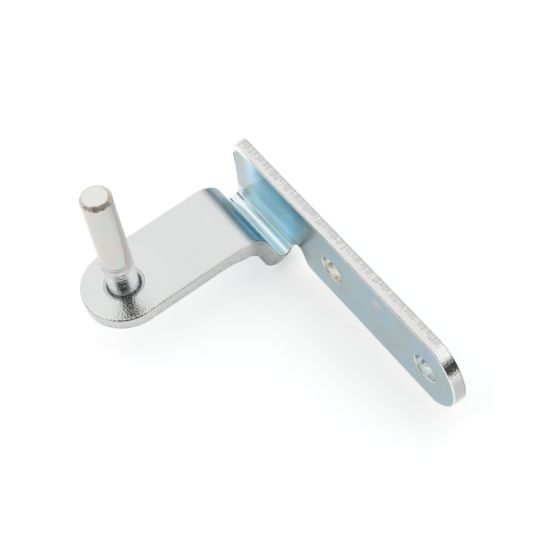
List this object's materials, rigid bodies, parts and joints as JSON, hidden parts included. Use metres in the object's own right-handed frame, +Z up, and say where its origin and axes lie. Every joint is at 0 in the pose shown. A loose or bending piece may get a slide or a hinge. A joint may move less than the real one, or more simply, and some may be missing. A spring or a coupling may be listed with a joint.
{
  "type": "fridge door hinge",
  "caption": "Folded steel hinge bracket with an upright screw plate, a level arm with a round end, and a riveted pin on which an appliance door turns.",
  "frame": {"origin": "on the pin's axis, level with the arm's top face", "axes": "+Z up along the pin, +Y from the pin towards the mounting plate, +X along the plate towards its bowed end"},
  "size_m": [0.0995, 0.064, 0.0599],
  "materials": {
    "zinc_plated_sheet": "blue-bright zinc plating, satin",
    "zinc_plated_pin": "zinc plating on a turned surface"
  },
  "bodies": {
    "root": {"hinge_bracket": "zinc_plated_sheet", "hinge_pin": "zinc_plated_pin"}
  },
  "joints": []
}
